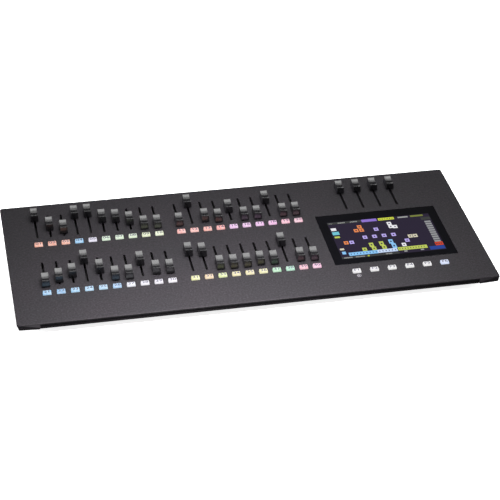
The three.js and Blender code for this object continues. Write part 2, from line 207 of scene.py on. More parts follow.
def metal(name, hex_colour, rough):
    """Plated or turned metal with fine marks from its making."""
    m = Nodes(name)
    base = linear(hex_colour)
    inputs = {"Vector": m.place, "Scale": MARKS_PER_METRE, "Detail": 3.0}
    lines = m.add("ShaderNodeTexNoise", inputs).outputs["Fac"]
    cloud = m.noise(6 * MM, 3)
    return m.finish(
        base_color=m.shades(cloud, scaled(base, 0.85), base),
        metallic=1.0,
        roughness=m.spread(lines, rough - 0.06, rough + 0.1),
        normal=m.bump(lines, 0.004 * MM),
    )


def silicone(name, hex_colour, glow):
    """Translucent key rubber lit from below: paler in random patches where the light under it is
    strongest.
    """
    m = Nodes(name)
    colour = linear(hex_colour)
    pale = tuple(c + PALER * (1 - c) for c in colour)
    cloud = m.spread(m.noise(3.5 * MM, 2), 0, 1)
    lit = m.shades(cloud, colour, pale)
    m.finish(
        base_color=rgba(scaled(colour, 0.06)),
        roughness=m.spread(m.noise(0.4 * MM, 2), 0.34, 0.46),
        subsurface_weight=0.25,
        subsurface_scale=1.2 * MM,
        emission_color=lit,
        emission_strength=glow,
        normal=m.bump(m.noise(0.3 * MM, 2), 0.01 * MM),
    )
    m.shader.inputs["Subsurface Radius"].default_value = (1, 1, 1)
    return m.material


def solder_mask():
    """Green circuit board: lacquer over copper tracks."""
    m = Nodes("solder_mask")
    inputs = {"Vector": m.place, "Scale": TRACKS_PER_METRE}
    cells = m.add("ShaderNodeTexVoronoi", inputs, distance="MANHATTAN", feature="F1")
    track = m.spread(cells.outputs["Distance"], 0, 1, 0.30, 0.36)
    return m.finish(
        base_color=m.shades(track, linear("1c5230"), linear("123a22")),
        roughness=m.spread(m.noise(4 * MM), 0.3, 0.42),
        normal=m.bump(track, 0.03 * MM),
    )


def black_glass():
    """Black-backed cover glass: smooth, with faint dust and finger marks in its gloss."""
    m = Nodes("black_glass")
    smear = m.spread(m.noise(11 * MM, 5, 0.65), 0.05, 0.14, 0.4, 0.8)
    tone = m.shades(m.noise(30 * MM), linear("060608"), linear("0b0b0f"))
    return m.finish(base_color=tone, roughness=smear, specular_ior_level=0.5)


def lit_picture(name, hex_colour, glow):
    """A lit area of the display behind its polished glass: fine pixel rows in an even colour."""
    m = Nodes(name)
    colour = linear(hex_colour)
    inputs = {"Vector": m.place, "Scale": 1 / PIXEL_ROWS, "Detail": 0.0}
    rows = m.add("ShaderNodeTexNoise", inputs).outputs["Fac"]
    return m.finish(
        base_color=rgba(scaled(colour, 0.1)),
        emission_color=m.shades(m.spread(rows, 0, 1), scaled(colour, 0.9), colour),
        emission_strength=glow,
        roughness=0.09,
    )


POWDER = powder_coat()
CHEEK = moulded("cheek_plastic", "232124", 0.6, specular=0.3)
FADER = moulded("fader_plastic", "101012", 0.19, 0.5 * MM, 0.004 * MM, specular=0.85)
SKIRT = moulded("fader_skirt", "0c0c0d", 0.4)
STEEL = metal("lever_steel", "8c8e92", 0.3)
RUBBER = moulded("foot_rubber", "171717", 0.8, 0.5 * MM, 0.05 * MM)
INK = moulded("legend_ink", "4a4a58", 0.6)
BLACK = moulded("black_plastic", "121213", 0.38)
GLASS = black_glass()
BOARD = solder_mask()


# ---- mesh helpers ----


def finish_mesh(bm, name, materials, smooth_angle=40):
    """Turns bm into a mesh with its faces smooth except across angles over smooth_angle degrees."""
    bmesh.ops.recalc_face_normals(bm, faces=bm.faces)
    limit = math.radians(smooth_angle)
    for face in bm.faces:
        face.smooth = True
    for edge in bm.edges:
        edge.smooth = len(edge.link_faces) == 2 and edge.calc_face_angle(math.pi) < limit
    mesh = bpy.data.meshes.new(name)
    bm.to_mesh(mesh)
    bm.free()
    for material in materials:
        mesh.materials.append(material)
    return mesh


def piece(name, mesh, body, matrix, replaces=()):
    """Adds a piece that rides on a body, in place of the CAD nodes that it replaces."""
    obj = bpy.data.objects.new(name, mesh)
    SCENE.collection.objects.link(obj)
    obj.matrix_world = matrix
    obj.modifiers.new("normals", "WEIGHTED_NORMAL").keep_sharp = True
    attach(obj, body)
    if replaces:
        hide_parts(*replaces)
    return obj


def bevel(bm, edges, width, segments):
    bmesh.ops.bevel(
        bm,
        geom=list(edges),
        offset=width,
        offset_type="OFFSET",
        segments=segments,
        profile=0.5,
        affect="EDGES",
        clamp_overlap=True,
        material=-1,
    )


def rounded_block(bm, low, high, radius, segments, taper=0.0, material=0):
    """Box from low to high with rounded edges, its top smaller by taper on each side."""
    made = bmesh.ops.create_cube(bm, size=1)["verts"]
    size = high - low
    for v in made:
        inset = taper if v.co.z > 0 else 0
        v.co = Vector(
            (
                low.x + (v.co.x + 0.5) * size.x - math.copysign(inset, v.co.x),
                low.y + (v.co.y + 0.5) * size.y - math.copysign(inset, v.co.y),
                low.z + (v.co.z + 0.5) * size.z,
            )
        )
    faces = {f for v in made for f in v.link_faces}
    for f in faces:
        f.material_index = material
    bevel(bm, {e for f in faces for e in f.edges}, radius, segments)


def skin(bm, loops, material=0):
    """Joins rings of as many points each, one to the next, and closes both ends."""
    rings = [[bm.verts.new(p) for p in loop] for loop in loops]
    count = len(rings[0])
    faces = [bm.faces.new(rings[0]), bm.faces.new(list(reversed(rings[-1])))]
    for a, b in zip(rings, rings[1:]):
        for k in range(count):
            faces.append(bm.faces.new((a[k], a[(k + 1) % count], b[(k + 1) % count], b[k])))
    for f in faces:
        f.material_index = material
    return [v for ring in rings for v in ring]


SIDES = 32  # points in a ring


def circle(radius, z, sides=SIDES):
    turns = [2 * math.pi * k / sides for k in range(sides)]
    return [(radius * math.cos(t), radius * math.sin(t), z) for t in turns]


def rounded(width, height, radius, z):
    """Rectangle with rounded corners, as a ring."""
    steps = SIDES // 4 - 1
    x, y = width / 2 - radius, height / 2 - radius
    points = []
    for quarter, (cx, cy) in enumerate([(x, y), (-x, y), (-x, -y), (x, -y)]):
        for k in range(steps + 1):
            turn = math.pi / 2 * (quarter + k / steps)
            points.append((cx + radius * math.cos(turn), cy + radius * math.sin(turn), z))
    return points


def moved(loop, x, y):
    """A ring of points shifted in its own plane."""
    return [(a + x, b + y, c) for a, b, c in loop]


def block(bm, x, y, z, radius, material=0):
    """Rounded box between pairs of x, y and z."""
    low, high = Vector((x[0], y[0], z[0])), Vector((x[1], y[1], z[1]))
    rounded_block(bm, low, high, radius, 2, material=material)


# ---- the fascia ----

PANEL_SHEET = 2 * MM
HEM = 4.6 * MM  # width of the folded rim
OUTER_RADIUS = 4 * MM  # of its corners
INNER_RADIUS = 0.7 * MM  # of the corners of its openings
RIM_RADIUS = 1.5 * MM
OPENING_RADIUS = 0.4 * MM
NEAR = 1e-6

faders = sorted(n for n in frame["nodes"] if "_fader_" in n)
mats = sorted(n for n in frame["nodes"] if "_keys" in n)
SLOT_HALF = Vector((1.5 * MM, 27.1 * MM))
KEY_SIZE = Vector((11.6 * MM, 8 * MM))
KEY_GAP = 0.3 * MM
MAT_MARGIN = 8 * MM  # from the middle of the first or last key to the end of its mat
joint_of = {j["child"]: j for j in frame["joints"]}

KEY_COLOURS = {
    "bump_keys_01_10": (
        "f2a184 eb9c82 eda58c 7cc0ee dcd8ec c9e2c4 cfe5c6 d2e4c2 dfe6bc e2ecc4".split()
    ),
    "bump_keys_11_20": (
        "f6a9a2 f7b2aa f5a89c f2948f e6b4e4 e4b2e0 e8b0e4 ecaede f4b0c4 f4b4c8".split()
    ),
    "bump_keys_21_30": (
        "8fc4ec 86bce8 96ccf0 a2d2f2 a6d2f0 94c2ec e6e8f2 e8e6ee e6e2ec ece8f0".split()
    ),
    "bump_keys_31_40": (
        "e8e8a0 eed0a0 dce89c e8dca0 ecdfa6 ece6a8 a8e0b4 a4e0c0 f0b0c0 f2b2d2".split()
    ),
    "soft_keys": "e4e2e4 e2e0e2 e2e2e2 e0e0e0 e4e2e2 c4d2f4".split(),
}


def slot_middle(node):
    """Middle of a fader's slot: halfway between its joint's limits."""
    low, high = joint_of[node + "_body"]["range_m"]
    return middle(node) + Vector((0, (low + high) / 2, 0))


def key_places(node):
    """Middles of a mat's keys: evenly spaced, the first and last a mat's margin from its ends."""
    low, high = fascia_box(node)
    count = len(KEY_COLOURS[node])
    step = (high.x - low.x - 2 * MAT_MARGIN) / (count - 1)
    return [Vector((low.x + MAT_MARGIN + k * step, (low.y + high.y) / 2, 0)) for k in range(count)]


def openings():
    """(low x, high x, low v, high v) of every opening in the fascia."""
    found = []
    for node in faders:
        c = slot_middle(node)
        found.append((c.x - SLOT_HALF.x, c.x + SLOT_HALF.x, c.y - SLOT_HALF.y, c.y + SLOT_HALF.y))
    half = KEY_SIZE / 2 + Vector((KEY_GAP, KEY_GAP))
    for node in mats:
        for c in key_places(node):
            found.append((c.x - half.x, c.x + half.x, c.y - half.y, c.y + half.y))
    low, high = fascia_box("touch_glass")
    found.append((low.x - KEY_GAP, high.x + KEY_GAP, low.y - KEY_GAP, high.y + KEY_GAP))
    return found


def merged(values):
    """Sorted values, each kept once."""
    kept = []
    for value in sorted(values):
        if not kept or value - kept[-1] > 10 * NEAR:
            kept.append(value)
    return kept


def fascia_mesh():
    """A sheet cut on a grid that follows every opening's edges, with a deeper hem round it."""
    holes = openings()
    half = (panel_high.x - panel_low.x) / 2
    depth = fascia_box("top_panel")[1].y
    xs = merged([-half, HEM - half, half - HEM, half] + [x for h in holes for x in h[:2]])
    vs = merged([0, HEM, depth - HEM, depth] + [v for h in holes for v in h[2:]])

    def thickness(i, k):
        if not (0 <= i < len(xs) - 1 and 0 <= k < len(vs) - 1):
            return 0
        x, v = (xs[i] + xs[i + 1]) / 2, (vs[k] + vs[k + 1]) / 2
        if any(h[0] < x < h[1] and h[2] < v < h[3] for h in holes):
            return 0
        hem = i in (0, len(xs) - 2) or k in (0, len(vs) - 2)
        return FOLD if hem else PANEL_SHEET

    bm = bmesh.new()
    made = {}

    def corner(i, k, n):
        key = (i, k, round(n * 1e6))
        if key not in made:
            made[key] = bm.verts.new((xs[i], vs[k], -n))
        return made[key]

    for i in range(len(xs) - 1):
        for k in range(len(vs) - 1):
            t = thickness(i, k)
            if not t:
                continue
            around = [(i, k), (i + 1, k), (i + 1, k + 1), (i, k + 1)]
            bm.faces.new([corner(*p, 0) for p in around])
            bm.faces.new([corner(*p, t) for p in reversed(around)])
            beside = [(i, k - 1), (i + 1, k), (i, k + 1), (i - 1, k)]
            for a, b, other in zip(around, around[1:] + around[:1], beside):
                s = thickness(*other)
                if s < t:
                    bm.faces.new([corner(*b, s), corner(*a, s), corner(*a, t), corner(*b, t)])
    bmesh.ops.recalc_face_normals(bm, faces=bm.faces)

    def upright(edge):
        a, b = (v.co for v in edge.verts)
        return abs(a.z - b.z) > NEAR and edge.calc_face_angle(0) > 1

    def outer(edge):
        ends = [(abs(v.co.x), min(v.co.y, depth - v.co.y)) for v in edge.verts]
        return all(abs(x - half) < NEAR and v < NEAR for x, v in ends)

    bevel(bm, [e for e in bm.edges if upright(e) and outer(e)], OUTER_RADIUS, 6)
    bevel(bm, [e for e in bm.edges if upright(e) and len(e.link_faces) == 2], INNER_RADIUS, 2)

    def rim(edge):
        return (
            all(abs(v.co.z) < NEAR for v in edge.verts)
            and len(edge.link_faces) == 2
            and edge.calc_face_angle(0) > 1
        )

    def on_edge(edge):
        inward = [min(half - abs(v.co.x), v.co.y, depth - v.co.y) for v in edge.verts]
        return all(distance < OUTER_RADIUS + 10 * NEAR for distance in inward)

    bevel(bm, [e for e in bm.edges if rim(e) and on_edge(e)], RIM_RADIUS, 4)
    bevel(bm, [e for e in bm.edges if rim(e)], OPENING_RADIUS, 2)
    return finish_mesh(bm, "fascia", [POWDER])


piece("fascia", fascia_mesh(), "desk", FASCIA, ["top_panel"])


# ---- faders ----


CAP_HALF = 5.5 * MM  # of its width, at its base
CAP_BASE = 1.5 * MM
CAP_BACK = 12.3 * MM  # heights of the back and the front of its top
CAP_FRONT = 10.9 * MM
CAP_SCOOP = 7.7 * MM  # height of the point that pulls the curve down between them
CAP_REACH = {"base": 10 * MM, "top": 9 * MM}  # from its middle to either end
CAP_NARROWING = 0.145  # share of its width that it loses by its top
CAP_DISH = 0.35 * MM  # hollow across its top
SKIRT_TOP = 2.6 * MM
LEVER = (Vector((-0.6 * MM, -2.5 * MM, -8.5 * MM)), Vector((0.6 * MM, 2.5 * MM, 4.5 * MM)))


def cap_outline():
    """Side of a cap in (v, n): leaning ends, and a scooped top that is higher at the back."""
    base = CAP_REACH["base"]
    top = []
    steps = 10
    for k in range(steps + 1):
        t = k / steps
        n = (1 - t) ** 2 * CAP_BACK + 2 * t * (1 - t) * CAP_SCOOP + t * t * CAP_FRONT
        top.append(((1 - 2 * t) * CAP_REACH["top"], n))
    return [(-base, CAP_BASE), (base, CAP_BASE)] + top


def fader_mesh():
    """Cap with a scooped top and a dark skirt, on a steel lever."""
    bm = bmesh.new()
    slices = 8
    sections = [CAP_HALF * (2 * k / slices - 1) for k in range(slices + 1)]
    for v in skin(bm, [[(x, v, n) for v, n in cap_outline()] for x in sections]):
        share = (v.co.z - CAP_BASE) / (CAP_BACK - CAP_BASE)
        across = v.co.x / CAP_HALF
        v.co.x *= 1 - CAP_NARROWING * share
        if share > 0.5:
            v.co.z -= CAP_DISH * (1 - across * across)

    def sharp(edge):
        above = min(v.co.z for v in edge.verts) > CAP_BASE + 0.5 * MM
        return above and edge.calc_face_angle(0) > 0.7

    bevel(bm, [e for e in bm.edges if sharp(e)], 1.0 * MM, 4)
    for f in bm.faces:
        if f.calc_center_median().z < SKIRT_TOP:
            f.material_index = 1
    rounded_block(bm, *LEVER, 0.2 * MM, 1, material=2)
    return finish_mesh(bm, "fader", [FADER, SKIRT, STEEL], 35)


shared_fader = fader_mesh()
for node in faders:
    place = middle(node)
    matrix = FASCIA @ Matrix.Translation((place.x, place.y, 0))
    piece(node + "_cap", shared_fader, node + "_body", matrix, [node])


# ---- keys ----

KEY_TOP = 2.2 * MM
KEY_GLOW = 0.95
WEB_HALF = 6.5 * MM  # of the depth of the web between the keys


def key_mesh(places, origin):
    """A rubber mat: keys with soft edges on a thin web, one lit colour to a key."""
    bm = bmesh.new()
    half = KEY_SIZE / 2
    for k, place in enumerate(places):
        c = place - origin
        low = Vector((c.x - half.x, c.y - half.y, -2.6 * MM))
        high = Vector((c.x + half.x, c.y + half.y, KEY_TOP))
        rounded_block(bm, low, high, 0.6 * MM, 3, taper=0.4 * MM, material=k)
    left, right = places[0] - origin, places[-1] - origin
    low = Vector((left.x - MAT_MARGIN, -WEB_HALF, -3.8 * MM))
    high = Vector((right.x + MAT_MARGIN, WEB_HALF, -2.3 * MM))
    rounded_block(bm, low, high, 0.3 * MM, 1, material=len(places))
    return bm


LEGEND_HEIGHT = 6.8 * MM  # type size
LEGEND_STRETCH = 1.35  # how much wider than plain the figures are
LEGEND_WEIGHT = 0.014  # how much fatter each stroke is, as a share of the type size


def legend(text, origin):
    """Text as a flat mesh, centred on origin."""
    curve = bpy.data.curves.new("legend", "FONT")
    curve.body = text
    curve.size = LEGEND_HEIGHT
    curve.align_x = "CENTER"
    curve.align_y = "CENTER"
    curve.extrude = 0.02 * MM
    curve.offset = LEGEND_WEIGHT * LEGEND_HEIGHT
    obj = bpy.data.objects.new("legend", curve)
    SCENE.collection.objects.link(obj)
    bpy.context.view_layer.update()
    graph = bpy.context.evaluated_depsgraph_get()
    mesh = bpy.data.meshes.new_from_object(obj.evaluated_get(graph))
    bpy.data.objects.remove(obj)
    mesh.transform(Matrix.Translation(origin) @ Matrix.Diagonal((LEGEND_STRETCH, 1, 1, 1)))
    return mesh


def joined(name, meshes, material):
    """One mesh made of several."""
    bm = bmesh.new()
    for mesh in meshes:
        bm.from_mesh(mesh)
        bpy.data.meshes.remove(mesh)
    return finish_mesh(bm, name, [material])


def key_text(node, k):
    """Soft keys are F1 to F6; bump keys count on from the first number in their mat's name."""
    if node == "soft_keys":
        return f"F{k + 1}"
    return f"{int(node.split('_')[2]) + k:02d}"


def build_keys(node):
    places = key_places(node)
    origin = places[0]
    body = node + "_body"
    lit = enumerate(KEY_COLOURS[node])
    materials = [silicone(f"{node}_lit_{k + 1}", c, KEY_GLOW) for k, c in lit]
    materials.append(silicone(node + "_web", "9a989c", 0.02))
    mesh = finish_mesh(key_mesh(places, origin), node, materials)
    matrix = FASCIA @ Matrix.Translation(origin)
    piece(node + "_mat", mesh, body, matrix, [node])
    top = Vector((0, 0, KEY_TOP))
    labels = [legend(key_text(node, k), place - origin + top) for k, place in enumerate(places)]
    piece(node + "_numbers", joined(node + "_numbers", labels, INK), body, matrix)


for node in mats:
    build_keys(node)


# ---- display ----

glass_low, glass_high = fascia_box("touch_glass")
glass_middle = (glass_low + glass_high) / 2
PICTURE = Vector((152.4 * MM, 91.4 * MM))
PICTURE_MIDDLE = Vector((glass_middle.x, glass_middle.y - 2.6 * MM, glass_high.z))


def cover_glass():
    bm = bmesh.new()
    rounded_block(bm, glass_low - glass_middle, glass_high - glass_middle, 0.35 * MM, 3)
    mesh = finish_mesh(bm, "cover_glass", [GLASS])
    matrix = FASCIA @ Matrix.Translation(glass_middle)
    piece("cover_glass", mesh, "desk", matrix, ["touch_glass"])


# The picture is a made-up rig plan. Each area is left, right, top and bottom as shares of the lit
# area, measured from its top left corner. Each colour goes with the strength of its light.
SCREEN_COLOURS = {
    "navy": ("2b2536", 0.9),
    "bar_grey": ("3c3e3d", 0.9),
    "text_grey": ("a6a8a6", 0.8),
    "olive": ("7c8440", 0.8),
    "purple": ("8a70c8", 0.95),
    "yellow": ("ccd642", 0.95),
    "orange": ("e08650", 0.95),
    "lilac": ("b4a6e6", 0.95),
    "white": ("e6e6ea", 0.95),
    "beige": ("d2cdb4", 0.9),
    "lime": ("b6c45a", 0.95),
    "sky": ("84bdea", 0.95),
    "pale_sky": ("c0d2ee", 0.95),
    "cyan": ("6fc0d0", 0.9),
    "slider_grey": ("9c9da0", 0.75),
    "red": ("cc4426", 0.95),
    "blue": ("2a428e", 0.95),
    "mark": ("3a3048", 0.9),
}


def tile(s, t, width=0.042, height=0.085):
    """An area by its middle and size."""
    return (s - width / 2, s + width / 2, t - height / 2, t + height / 2)


def row(s, t, step, count, width, height):
    """Areas side by side, the first with its middle at s, t."""
    return [tile(s + k * step, t, width, height) for k in range(count)]


def mark(s0, s1, t0, t1):
    """The dark sign in the middle of a tile."""
    return tile((s0 + s1) / 2, (t0 + t1) / 2, 0.36 * (s1 - s0), 0.34 * (t1 - t0))


FIXTURES = {
    "orange": [tile(0.289, 0.19), tile(0.243, 0.285), tile(0.295, 0.285), tile(0.100, 0.585)],
    "lilac": [tile(0.435, 0.297), tile(0.297, 0.483), tile(0.390, 0.483), tile(0.483, 0.483),
              tile(0.575, 0.483), tile(0.153, 0.585), tile(0.676, 0.67)],
    "white": [tile(0.583, 0.175), tile(0.585, 0.262), tile(0.625, 0.275),
              tile(0.628, 0.775, 0.04, 0.09)],
    "beige": [tile(0.724, 0.568), tile(0.772, 0.568)],
    "lime": [tile(0.244, 0.80), tile(0.325, 0.70, 0.042, 0.11), tile(0.335, 0.80, 0.042, 0.09),
             tile(0.424, 0.69, 0.042, 0.11), tile(0.434, 0.79, 0.042, 0.10)],
    "sky": [tile(0.519, 0.66, 0.042, 0.11), tile(0.531, 0.78, 0.042, 0.13)],
}
SCREEN_AREAS = {
    "navy": [(0, 1, 0, 1)],
    "bar_grey": [(0.0, 0.33, 0.008, 0.062), (0.0, 0.55, 0.952, 0.998), (0.905, 0.997, 0.09, 0.17)],
    "text_grey": [(0.012, 0.05, 0.022, 0.05), (0.10, 0.17, 0.022, 0.05), (0.22, 0.29, 0.022, 0.05),
                  (0.69, 0.79, 0.02, 0.055), (0.02, 0.10, 0.962, 0.988), (0.13, 0.22, 0.962, 0.988),
                  (0.42, 0.48, 0.955, 0.985), (0.60, 0.63, 0.935, 0.965),
                  (0.76, 0.79, 0.935, 0.965)],
    "olive": [(0.815, 0.94, 0.012, 0.058)],
    "purple": [(0.333, 0.481, 0.005, 0.075)],
    "yellow": [(0.497, 0.652, 0.008, 0.072), (0.245, 0.262, 0.958, 0.99)],
    "orange": FIXTURES["orange"],
    "lilac": FIXTURES["lilac"],
    "white": FIXTURES["white"] + [tile(0.036, 0.2, 0.05, 0.07)],
    "beige": FIXTURES["beige"] + [tile(0.036, 0.745, 0.04, 0.045)],
    "lime": FIXTURES["lime"] + [(0.552, 0.834, 0.835, 0.92), tile(0.04, 0.415, 0.05, 0.045)],
    "sky": FIXTURES["sky"] + [(0.08, 0.355, 0.85, 0.935), tile(0.04, 0.845, 0.035, 0.07)],
    "pale_sky": [(0.355, 0.545, 0.845, 0.93)],
    "cyan": [tile(0.042, 0.31, 0.065, 0.085)],
    "slider_grey": [(0.925, 0.985, 0.20 + 0.06 * k, 0.245 + 0.06 * k) for k in range(10)],
    "red": [(0.92, 0.995, 0.79, 0.88)],
    "blue": [(0.85, 0.995, 0.89, 0.98)],
    "mark": [mark(*area) for tiles in FIXTURES.values() for area in tiles]
    + row(0.57, 0.878, 0.026, 10, 0.008, 0.03)
    + row(0.10, 0.892, 0.03, 9, 0.008, 0.03)
    + row(0.375, 0.888, 0.03, 6, 0.008, 0.03)
    + row(0.515, 0.04, 0.024, 6, 0.012, 0.02)
    + row(0.935, 0.835, 0.022, 3, 0.012, 0.03),
}
PICTURE_SUNK = 0.02 * MM  # how far the picture reaches into the glass
PICTURE_LIFTS = {"navy": 0.02 * MM, "mark": 0.06 * MM}  # tops of its areas above the glass
OTHER_LIFT = 0.04 * MM


def screen_mesh():
    """Each area as a film of its own, thin enough to look flush with the glass."""
    bm = bmesh.new()
    for index, (colour, areas) in enumerate(SCREEN_AREAS.items()):
        top = PICTURE_LIFTS.get(colour, OTHER_LIFT)
        for s0, s1, t0, t1 in areas:
            low = ((s0 - 0.5) * PICTURE.x, (0.5 - t1) * PICTURE.y)
            high = ((s1 - 0.5) * PICTURE.x, (0.5 - t0) * PICTURE.y)
            made = bmesh.ops.create_cube(bm, size=1)["verts"]
            for v in made:
                v.co.x = high[0] if v.co.x > 0 else low[0]
                v.co.y = high[1] if v.co.y > 0 else low[1]
                v.co.z = top if v.co.z > 0 else -PICTURE_SUNK
            for face in {f for v in made for f in v.link_faces}:
                face.material_index = index
    materials = [lit_picture("screen_" + c, *SCREEN_COLOURS[c]) for c in SCREEN_AREAS]
    return finish_mesh(bm, "screen_picture", materials)


cover_glass()
matrix = FASCIA @ Matrix.Translation(PICTURE_MIDDLE)
piece("screen_picture", screen_mesh(), "desk", matrix)


# ---- what is printed on the fascia ----

PRINT = moulded("print_grey", "8e8c92", 0.5)
RING_WIDTH = 0.6 * MM
SIGN_RING = 2.6 * MM
SIGN_DOT = 0.9 * MM
SIGN_TOP = 0.04 * MM
SIGN_PLACE = Vector((0.5 * MM, -10.5 * MM))  # from the middle of the first soft key


def torus(bm, radius, height):
    """Flat printed ring about the origin, closed on itself."""
    inner, outer = radius - RING_WIDTH / 2, radius + RING_WIDTH / 2
    profile = [(inner, 0), (outer, 0), (outer, height), (inner, height)]
    rings = []
    for k in range(SIDES):
        turn = 2 * math.pi * k / SIDES
        across, up = math.cos(turn), math.sin(turn)
        rings.append([bm.verts.new((r * across, r * up, z)) for r, z in profile])
    for a, b in zip(rings, rings[1:] + rings[:1]):
        for k in range(4):
            bm.faces.new((a[k], a[(k + 1) % 4], b[(k + 1) % 4], b[k]))


def home_sign():
    """Ring round a dot, in front of the first soft key."""
    bm = bmesh.new()
    torus(bm, SIGN_RING, SIGN_TOP)
    skin(bm, [circle(SIGN_DOT, -0.01 * MM), circle(SIGN_DOT, SIGN_TOP)])
    key = key_places("soft_keys")[0]
    matrix = FASCIA @ Matrix.Translation((key.x + SIGN_PLACE.x, key.y + SIGN_PLACE.y, 0))
    piece("home_sign", finish_mesh(bm, "home_sign", [PRINT]), "desk", matrix)


home_sign()


# ---- CAD pieces that are shown as they are ----


def dress(node, material, width=0.4 * MM, segments=2):
    """Gives a CAD node its material and rounds its edges."""
    obj = frame["nodes"][node]
    obj.data.materials.clear()
    obj.data.materials.append(material)
    flat = obj.modifiers.new("flat", "DECIMATE")
    flat.decimate_type = "DISSOLVE"
    flat.angle_limit = math.radians(1)
    edge = obj.modifiers.new("edge", "BEVEL")
    edge.width = width
    edge.segments = segments
    edge.limit_method = "ANGLE"
    edge.angle_limit = math.radians(30)
    edge.harden_normals = False
    obj.modifiers.new("normals", "WEIGHTED_NORMAL").keep_sharp = True


dress("bottom_tray", POWDER)
dress("left_cheek", CHEEK, 0.8 * MM, 3)
dress("right_cheek", CHEEK, 0.8 * MM, 3)
dress("front_foot_strip", RUBBER)
dress("rear_foot_strip", RUBBER)
dress("display_module", BLACK)
dress("fader_board", BLACK, 0.2 * MM, 1)
dress("power_rocker", BLACK)


# ---- main board, and what it has on its rear edge ----

REAR_WALL_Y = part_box("bottom_tray")[1].y
BOARD_LOW = 9.5 * MM
BOARD_TOP = 11.1 * MM
NICKEL = metal("nickel", "a9a8a4", 0.3)
GOLD = metal("gold_plate", "c9a44e", 0.28)
TONGUE = moulded("socket_tongue", "d9d8d2", 0.45)
LED = moulded("link_lamp", "7fae58", 0.3)
SOCKET_MATERIALS = [BLACK, NICKEL, GOLD, TONGUE, LED]  # in the order of the names on the next line
PLASTIC_PART, METAL_PART, CONTACT, PALE_PART, LAMP = range(5)


def rear_place(x, z):
    """Frame of a socket: z points out of the rear wall, x along it and y down."""
    return Matrix(((1, 0, 0, x), (0, 0, 1, REAR_WALL_Y), (0, -1, 0, z), (0, 0, 0, 1)))


def socket(name, x, z, build):
    """A socket built with y up, turned over into its frame."""
    bm = bmesh.new()
    build(bm)
    for v in bm.verts:
        v.co.y = -v.co.y
    bmesh.ops.reverse_faces(bm, faces=bm.faces)
    return piece(name, finish_mesh(bm, name, SOCKET_MATERIALS, 30), "desk", rear_place(x, z))


PROUD = 0.5 * MM  # how far a socket stands out of the rear wall


def shell(bm, width, height, mouth, reach, radius, material, depth=9 * MM, wall=0.3 * MM):
    """Socket body with a rounded mouth in its face."""
    lip = 0.25 * MM
    inner = max(radius - wall, 0.3 * MM)
    skin(
        bm,
        [
            rounded(width, height, radius, PROUD - reach),
            rounded(width, height, radius, PROUD - lip),
            rounded(width - 2 * lip, height - 2 * lip, radius - lip / 2, PROUD),
            rounded(mouth[0] + lip, mouth[1] + lip, inner, PROUD),
            rounded(mouth[0], mouth[1], inner, PROUD - lip),
            rounded(mouth[0], mouth[1], inner, PROUD - depth),
        ],
        material,
    )


def contacts(bm, count, pitch, y, z0, z1, width):
    """A row of flat contacts along x."""
    half = 0.15 * MM
    for k in range(count):
        x = (k - (count - 1) / 2) * pitch
        across = (x - width / 2, x + width / 2)
        block(bm, across, (y - half, y + half), (z0, z1), 0.05 * MM, CONTACT)


def usb_socket(bm):
    shell(bm, 14.4 * MM, 7.4 * MM, (12.5 * MM, 5.1 * MM), 14 * MM, 0.9 * MM, METAL_PART)
    tongue = (-5.5 * MM, 5.5 * MM), (0.1 * MM, 1.9 * MM), (-9.5 * MM, -1.0 * MM)
    block(bm, *tongue, 0.15 * MM, PALE_PART)
    contacts(bm, 4, 2.3 * MM, 0.1 * MM, -8 * MM, -1.6 * MM, 1.1 * MM)


def video_socket(bm):
    shell(bm, 15 * MM, 6.5 * MM, (13.8 * MM, 4.6 * MM), 12 * MM, 1.2 * MM, METAL_PART)
    tongue = (-5 * MM, 5 * MM), (-0.7 * MM, 0.7 * MM), (-9.5 * MM, -1.0 * MM)
    block(bm, *tongue, 0.15 * MM, PLASTIC_PART)
    contacts(bm, 9, 1.0 * MM, 0.75 * MM, -8 * MM, -1.6 * MM, 0.45 * MM)


def network_socket(bm):
    mouth = (12 * MM, 8.4 * MM)
    shell(bm, 16 * MM, 13.4 * MM, mouth, 16 * MM, 0.5 * MM, METAL_PART, depth=12.5 * MM)
    for side in (-1, 1):
        sill = sorted((side * 6.1 * MM, side * 3.2 * MM))
        block(bm, sill, (-4.3 * MM, -2.4 * MM), (-12 * MM, 0.2 * MM), 0.2 * MM, PLASTIC_PART)
        lamp = sorted((side * 4.2 * MM, side * 7.2 * MM))
        block(bm, lamp, (4.6 * MM, 6.2 * MM), (-2 * MM, 0.8 * MM), 0.2 * MM, LAMP)
    contacts(bm, 8, 1.02 * MM, 3.5 * MM, -11 * MM, -1.2 * MM, 0.5 * MM)


def power_inlet(bm):
    """Round hole in a square body, with a pin in its middle."""
    body = [
        rounded(9 * MM, 11 * MM, 0.8 * MM, -13.5 * MM),
        rounded(9 * MM, 11 * MM, 0.8 * MM, 0.2 * MM),
        rounded(8.5 * MM, 10.5 * MM, 0.7 * MM, 0.5 * MM),
        circle(3.3 * MM, 0.5 * MM),
        circle(3.0 * MM, 0.2 * MM),
        circle(3.0 * MM, -9.5 * MM),
    ]
    skin(bm, body, PLASTIC_PART)
    pin = [circle(1.0 * MM, -9.8 * MM), circle(1.0 * MM, -1.5 * MM), circle(0.6 * MM, -1.0 * MM)]
    skin(bm, pin, METAL_PART)


SCREW_SIDES = 24  # points in each of its rings


def hexagon(size, z):
    """Hexagon of size from its middle to a flat, as a ring."""
    points = []
    for k in range(SCREW_SIDES):
        turn = 2 * math.pi * k / SCREW_SIDES
        reach = size / math.cos((turn + math.pi / 6) % (math.pi / 3) - math.pi / 6)
        points.append((reach * math.cos(turn), reach * math.sin(turn), z))
    return points


